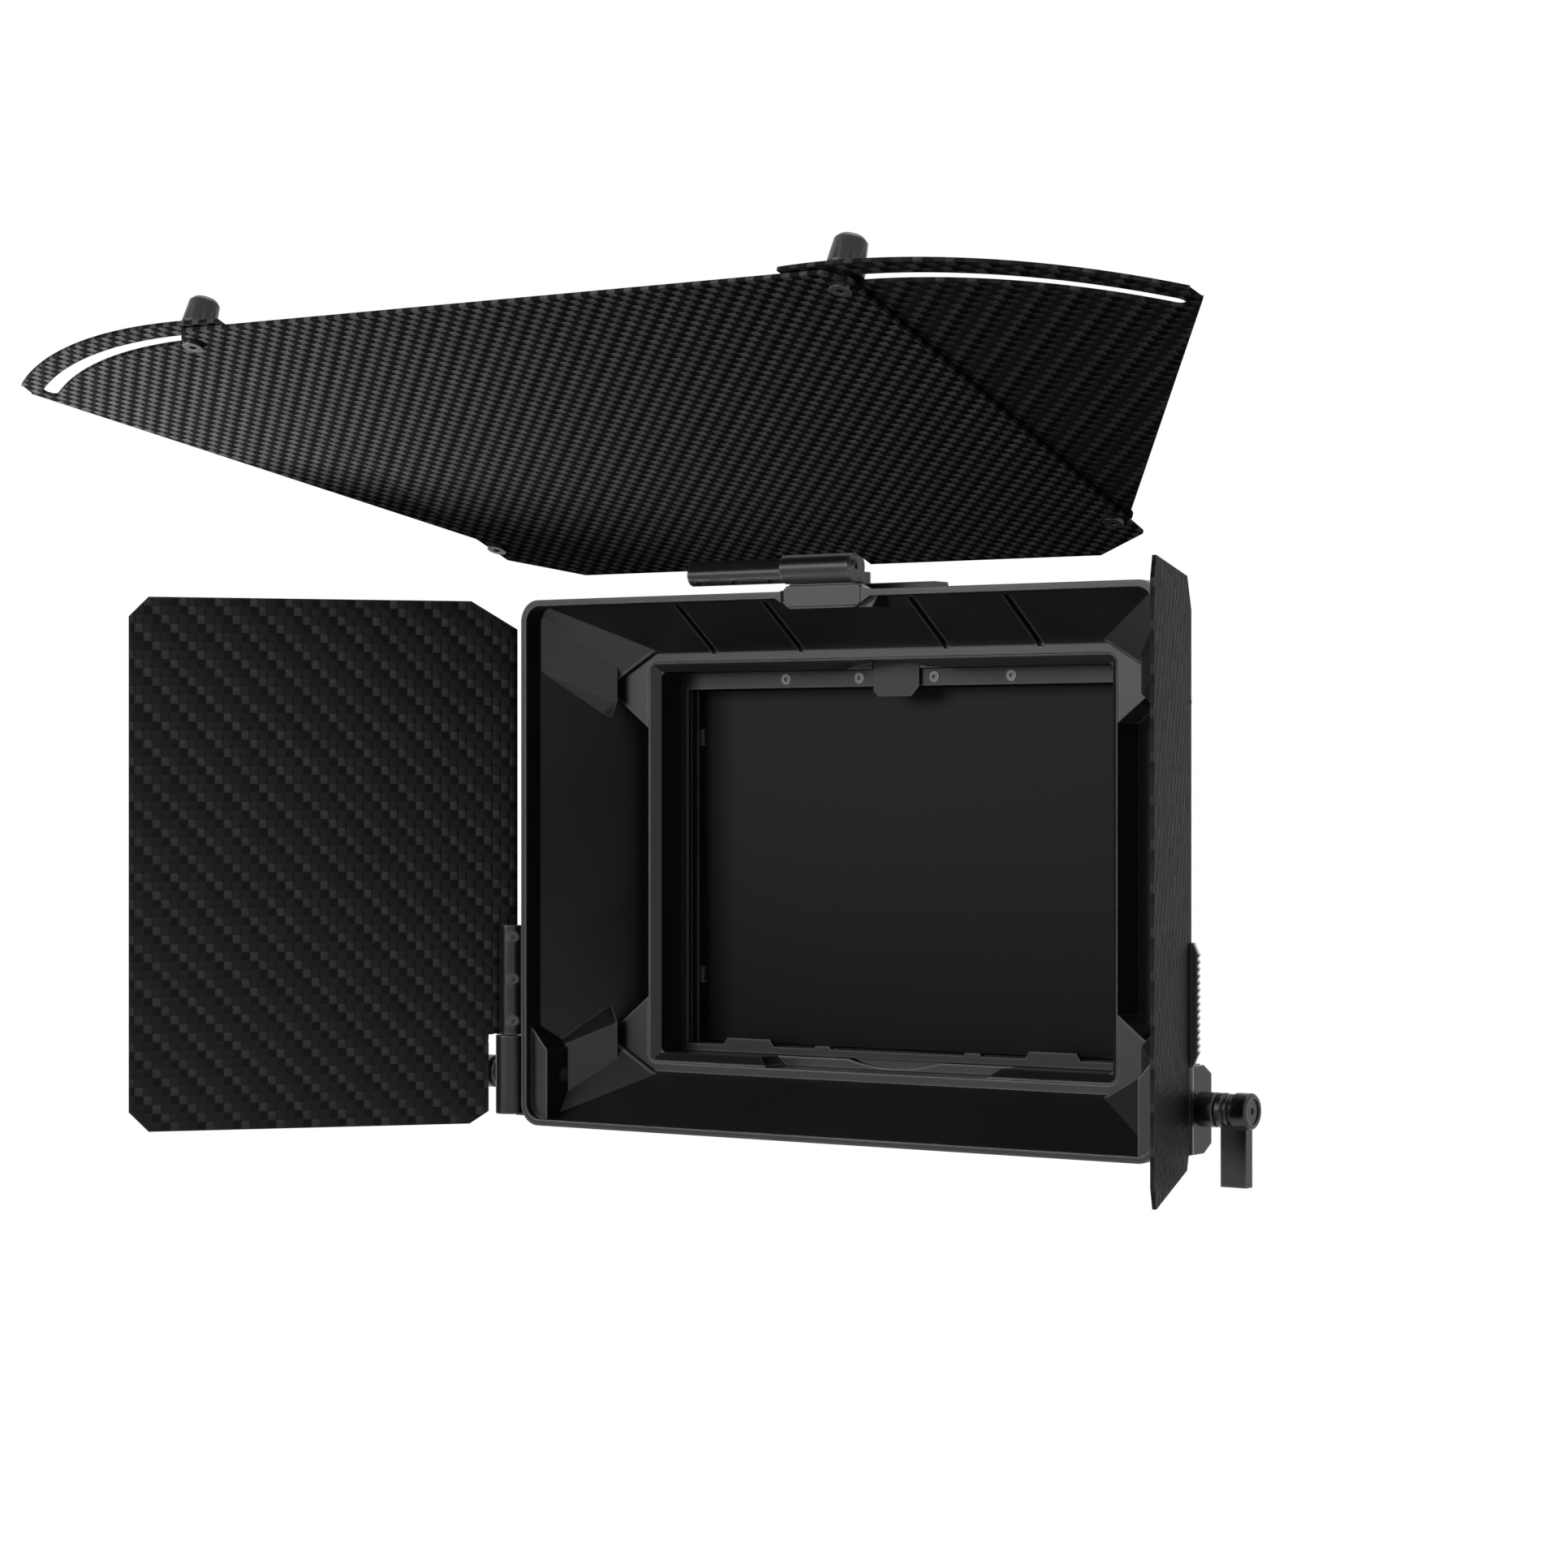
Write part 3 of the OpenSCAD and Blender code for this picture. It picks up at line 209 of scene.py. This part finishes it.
def carbon(name, look):
    material, net, shader, spot = startMaterial(name)
    inputs = {"Vector": spot, "Tow": look["tow"], "Face": math.radians(look["face"]),
              "Tip": math.radians(look["tip"]), "Lean": look["lean"]}
    weave = net.add("ShaderNodeGroup", inputs, node_tree=twillGroup).outputs
    wearAndSheen = addWearAndSheen(net, spot, look)
    tow = net.mixColour(weave["Warp"], grey(look["weft"]), grey(look["warp"]))
    # The last weft cell takes painted shade, and the first cells of the floats take painted
    # highlights.
    tow = net.mixColour(weave["Shade"], tow, grey(look["shade"]))
    tow = net.mixColour(weave["Glint"], tow, grey(look["glint"]))
    tow = net.mixColour(weave["DashHighlight"], tow, grey(look["dashHighlight"]))
    tow = net.mixColour(net.math("MULTIPLY", weave["Gap"], look["gaps"]), tow, grey(look["gap"]))
    dimmed = net.math("MULTIPLY", weave["Cell"], look["uneven"])
    tow = net.mixColour(dimmed, tow, grey(look["warp"] * look["dimmest"]))
    # Outer edges are painted lighter: a painted highlight, patchy like rubbed wear.
    tow = net.mixColour(wearAndSheen["EdgeWearAndSheen"], tow, grey(look["edge"]))
    net.feed(shader.inputs["Base Color"], tow)
    rough = net.mixNumber(weave["Warp"], look["roughWeft"], look["roughWarp"])
    rough = net.math("MULTIPLY_ADD", weave["Cell"], look["cellRough"], rough)
    net.feed(shader.inputs["Roughness"], rough)
    shader.inputs["Metallic"].default_value = look["metal"]
    shader.inputs["Specular IOR Level"].default_value = look["specular"]
    shader.inputs["Specular Tint"].default_value = grey(look["grazing"])
    bump = net.add("ShaderNodeBump", {"Height": weave["Height"], "Distance": look["bump"],
                                      "Strength": 1.0})
    net.feed(shader.inputs["Normal"], bump.outputs[0])
    return material


def darkGlass(name, look):
    # A dark filter plate whose colour runs lighter at the top and darker towards the bottom: a
    # painted reflection of the surroundings.
    material, net, shader, spot = startMaterial(name)
    wearAndSheen = addWearAndSheen(net, spot, look)
    height = net.add("ShaderNodeSeparateXYZ", {"Vector": spot}).outputs[2]
    paintedReflectionRise = net.math("MULTIPLY_ADD", height, look["perMetre"], look["middle"], clamp=True)
    base = net.mixColour(paintedReflectionRise, grey(look["low"]), grey(look["high"]))
    net.feed(shader.inputs["Base Color"], base)
    rough = net.math("MULTIPLY_ADD", wearAndSheen["Mottle"], look["mottleRough"], look["rough"])
    net.feed(shader.inputs["Roughness"], rough)
    shader.inputs["Specular IOR Level"].default_value = look["specular"]
    return material


# Shades run from 0 to 1. The edge value is the colour of the painted edge highlight with rubbed
# wear. Bump and round are in metres.
shellLook = {"shade": 0.013, "mottle": 0.15, "edge": 0.2, "rough": 0.28, "mottleRough": 0.12,
             "grainRough": 0.08, "metal": 0.0, "specular": 0.4, "grain": 4200.0, "wearAndSheen": 0.8,
             "bump": 0.00002, "round": 0.0006, "roundRays": 6}
innerLook = dict(shellLook, shade=0.01, edge=0.14, rough=0.34, specular=0.28, wearAndSheen=0.6,
                 round=0.0003)
metalLook = dict(shellLook, shade=0.026, edge=0.16, rough=0.25, metal=0.5, specular=0.5,
                 grain=5200.0, wearAndSheen=0.5, bump=0.00001, round=0.0004)
steelLook = dict(metalLook, shade=0.05, rough=0.24, metal=0.8, specular=0.4, grain=3800.0,
                 round=0.0002)
# Face and tip turn the plate's plane into the weave's, in degrees. The tow is in mm.
# Glint and dash are the colours of painted highlights on the tows, and shade that of painted
# shade.
sideWeave = {"tow": 2.5, "face": -51.8, "tip": -90.0, "lean": 1.0, "warp": 0.0165,
             "weft": 0.0155, "shade": 0.01, "glint": 0.037, "dashHighlight": 0.0155, "gap": 0.008,
             "gaps": 0.1, "uneven": 0.2, "dimmest": 0.5, "edge": 0.05, "grain": 3000.0,
             "wearAndSheen": 0.3, "roughWeft": 0.42, "roughWarp": 0.36, "cellRough": 0.06, "metal": 0.9,
             "specular": 0.3, "grazing": 0.12, "bump": 0.00012}
topWeave = dict(sideWeave, face=0.0, tip=-159.5, lean=-1.0, warp=0.015, weft=0.015, shade=0.011,
                glint=0.125, dashHighlight=0.125, roughWeft=0.5, roughWarp=0.46, metal=0.15,
                specular=0.0, gaps=0.0, bump=0.0003)
frontFilter = {"low": 0.003, "high": 0.029, "perMetre": 9.5, "middle": 0.5, "rough": 0.45,
               "mottleRough": 0.03, "specular": 0.07, "grain": 3000.0, "wearAndSheen": 0.2}
rearFilter = dict(frontFilter, low=0.03, high=0.04, rough=0.1, specular=0.5)

shellMat = satin("blackShell", shellLook)
innerMat = satin("innerBlack", innerLook)
metalMat = satin("blackMetal", metalLook)
steelMat = satin("darkSteel", steelLook)
ownMaterials = {
    "side_flag_left": carbon("carbonLeft", sideWeave),
    "side_flag_right": carbon("carbonRight", dict(sideWeave, face=65.4)),
    "top_flag_panel": carbon("carbonTop", topWeave),
    "top_wing_left": carbon("carbonWingLeft", topWeave),
    # The right wing's tows are painted lighter than the panel's, as painted light where the lamps
    # reach less, with weaker painted highlights.
    "top_wing_right": carbon("carbonWingRightPaintedLight", dict(topWeave, warp=0.022, weft=0.022,
                                                     glint=0.1, dashHighlight=0.05)),
    "front_filter": darkGlass("filterDark", frontFilter),
    "rear_filter": darkGlass("filterClear", rearFilter),
    "retainer_frame": innerMat,
    "filter_tab": innerMat,
}
steelWords = ("screw", "pin", "stud", "nuts", "washer")
metalStarts = ("bracket", "knuckle", "clamp_strip", "lever")


def materialFor(name):
    if name in ownMaterials:
        return ownMaterials[name]
    if any(word in name for word in steelWords):
        return steelMat
    return metalMat if name.startswith(metalStarts) else shellMat


for name in nodes:
    slots = nodes[name].data.materials
    if len(slots) == 0:
        slots.append(materialFor(name))
    for slot in range(len(slots)):
        slots[slot] = materialFor(name)
print("materials set")

# Camera where the photo was taken from: metres from the lens axis at the back of the box,
# degrees, and mm for the lens and the sensor.
photoCamera = {"right": 0.59498, "aheadOfRim": 0.87104, "rimDepth": 0.078, "up": 0.0225,
               "turn": 34.89, "lens": 89.35, "sensor": 36, "near": 0.02, "far": 60}


def placeCamera(view):
    data = bpy.data.cameras.new("photoCamera")
    data.sensor_width = view["sensor"]
    data.lens = view["lens"]
    data.clip_start = view["near"]
    data.clip_end = view["far"]
    camera = bpy.data.objects.new("photoCamera", data)
    camera.location = (view["right"], -view["rimDepth"] - view["aheadOfRim"], view["up"])
    camera.rotation_euler = (math.radians(90), 0, math.radians(view["turn"]))
    bpy.context.scene.collection.objects.link(camera)
    bpy.context.scene.camera = camera


def seenWhite(net):
    # 1 for rays that show the background: straight, mirrored or through glass
    path = net.add("ShaderNodeLightPath")
    mirrored = net.math("MAXIMUM", path.outputs["Is Glossy Ray"],
                        path.outputs["Is Transmission Ray"])
    return net.math("MAXIMUM", path.outputs["Is Camera Ray"], mirrored)


# The camera and reflections see the floor's glow. Under it the floor is plain and takes shadows.
studio = {"floorLevel": -0.5, "floorSize": 9, "floorShade": 0.4, "floorGlow": 0.99,
          "ambient": 0.06}


def layFloor(look):
    mesh = bpy.data.meshes.new("floor")
    shape = bmesh.new()
    bmesh.ops.create_grid(shape, x_segments=2, y_segments=2, size=look["floorSize"])
    shape.to_mesh(mesh)
    shape.free()
    floor = bpy.data.objects.new("floor", mesh)
    floor.location = (0, 0, look["floorLevel"])
    bpy.context.scene.collection.objects.link(floor)
    material = bpy.data.materials.new("paleFloor")
    material.use_nodes = True
    material.node_tree.nodes.clear()
    net = Nodes(material.node_tree)
    diffuse = net.add("ShaderNodeBsdfDiffuse", {"Color": grey(look["floorShade"])}).outputs[0]
    glow = net.add("ShaderNodeEmission", {"Color": grey(1), "Strength": look["floorGlow"]})
    lit = net.add("ShaderNodeAddShader", {0: diffuse, 1: glow.outputs[0]}).outputs[0]
    mix = net.add("ShaderNodeMixShader", {0: seenWhite(net), 1: diffuse, 2: lit}).outputs[0]
    net.add("ShaderNodeOutputMaterial", {"Surface": mix})
    mesh.materials.append(material)


def hangWorld(look):
    world = bpy.data.worlds.new("softStudio")
    bpy.context.scene.world = world
    world.use_nodes = True
    world.node_tree.nodes.clear()
    net = Nodes(world.node_tree)
    white = net.add("ShaderNodeBackground", {"Color": grey(1), "Strength": 1.0}).outputs[0]
    soft = net.add("ShaderNodeBackground", {"Color": grey(1), "Strength": look["ambient"]})
    mix = net.add("ShaderNodeMixShader", {0: seenWhite(net), 1: soft.outputs[0], 2: white})
    net.add("ShaderNodeOutputWorld", {"Surface": mix.outputs[0]})


# Places and sizes in metres, power in watts, spread in degrees.
boxMiddle = (0, -0.05, 0)
lamps = {
    "keyLamp": {"spot": (-0.7, -1.5, 0.55), "aim": boxMiddle, "size": (0.9, 0.9),
                "power": 14, "spread": 180},
    "flagLamp": {"spot": (-0.5, -0.3, -0.3), "aim": (-0.24, -0.2, 0.14), "size": (0.12, 0.12),
                 "power": 0.65, "spread": 50},
    "rightLamp": {"spot": (1.2, -1.0, 0.5), "aim": boxMiddle, "size": (0.1, 0.5),
                  "power": 1.2, "spread": 180},
    "topLamp": {"spot": (0.1, 0.3, 1.5), "aim": boxMiddle, "size": (1.4, 1.0),
                "power": 10, "spread": 180},
}


def placeLamp(name, lamp):
    data = bpy.data.lights.new(name, "AREA")
    data.shape = "RECTANGLE"
    data.size, data.size_y = lamp["size"]
    data.energy = lamp["power"]
    data.spread = math.radians(lamp["spread"])
    holder = bpy.data.objects.new(name, data)
    holder.location = lamp["spot"]
    towards = Vector(lamp["aim"]) - Vector(lamp["spot"])
    holder.rotation_euler = towards.to_track_quat("-Z", "Y").to_euler()
    bpy.context.scene.collection.objects.link(holder)


placeCamera(photoCamera)
layFloor(studio)
hangWorld(studio)
for name, lamp in lamps.items():
    placeLamp(name, lamp)
bpy.context.scene.view_settings.view_transform = "Standard"
print("camera and lights set")
